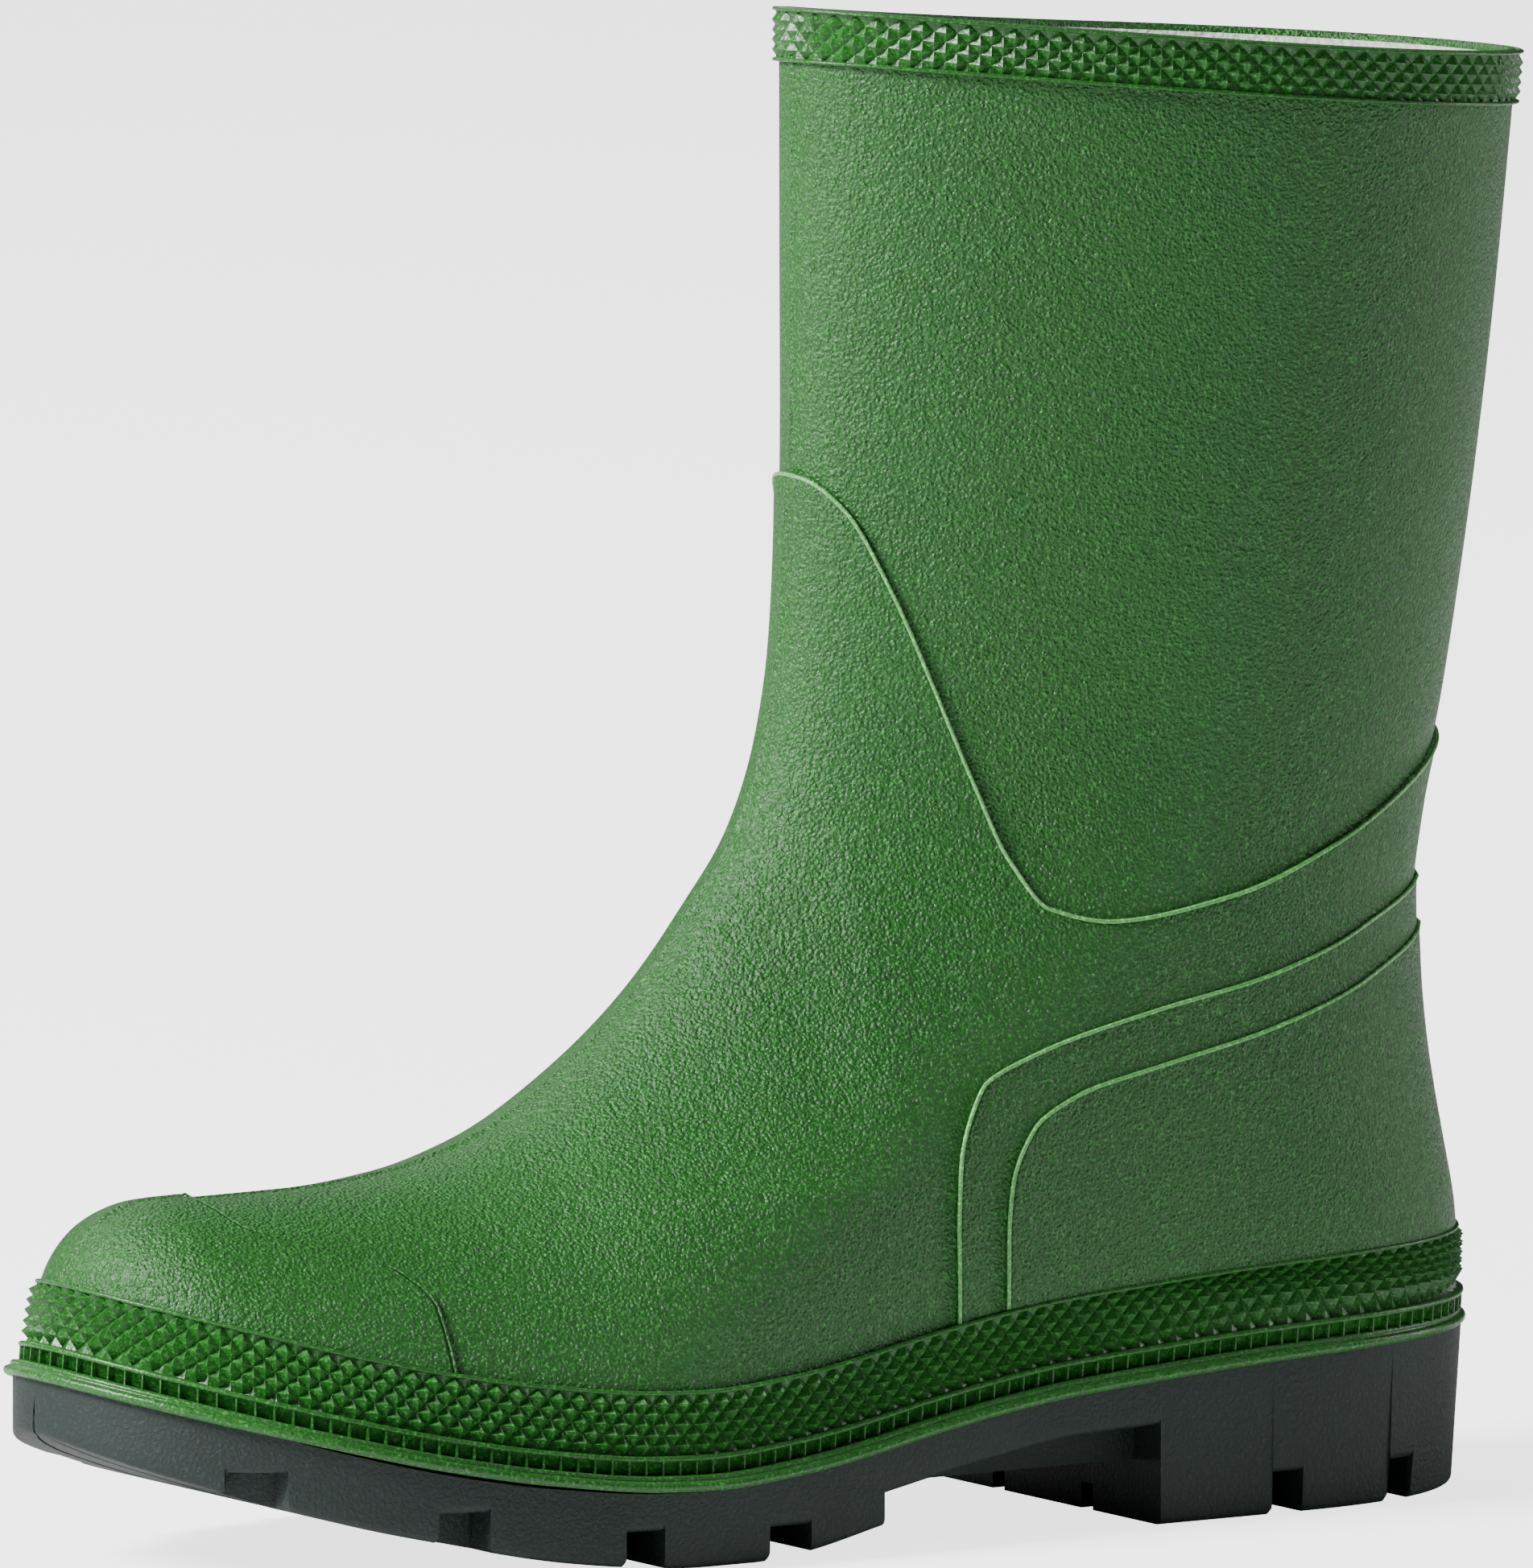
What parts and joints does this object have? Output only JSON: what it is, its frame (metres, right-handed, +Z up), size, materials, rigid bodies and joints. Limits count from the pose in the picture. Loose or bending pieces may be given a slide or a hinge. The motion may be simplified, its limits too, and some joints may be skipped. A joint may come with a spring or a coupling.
{
  "type": "rain boot",
  "caption": "Half-height rubber boot for the left foot, with raised panels, textured bands round rim and foot, knitted lining and a cleated sole.",
  "frame": {"origin": "middle of the bottom of the boot's bounding box, on the ground", "axes": "-X is where the toe points, +Z is up, and -Y is the outer side of the left foot"},
  "size_m": [0.318, 0.1134, 0.2865],
  "materials": {
    "shell_green": "satin, fine pebble grain",
    "panel_green": "satin, fine pebble grain",
    "trim_green": "satin, moulded pyramids and ribs",
    "sole_black": "matt",
    "knit_white": "fine knit",
    "board": "pressed fibre board",
    "steel": "rolled strip",
    "foam": "open foam",
    "filler": "sponge rubber"
  },
  "bodies": {
    "root": {"upper_shell": "shell_green", "ankle_overlay": "panel_green", "heel_band": "panel_green", "heel_counter": "panel_green", "toe_cap": "panel_green", "rim_band": "trim_green", "foxing_band": "trim_green", "rib_strip": "trim_green", "welt": "trim_green", "outsole": "sole_black", "lining_leg": "knit_white", "lining_foot": "knit_white", "footbed_cover": "knit_white", "footbed_foam": "foam", "insole_board": "board", "shank": "steel", "heel_filler": "filler"}
  },
  "joints": []
}
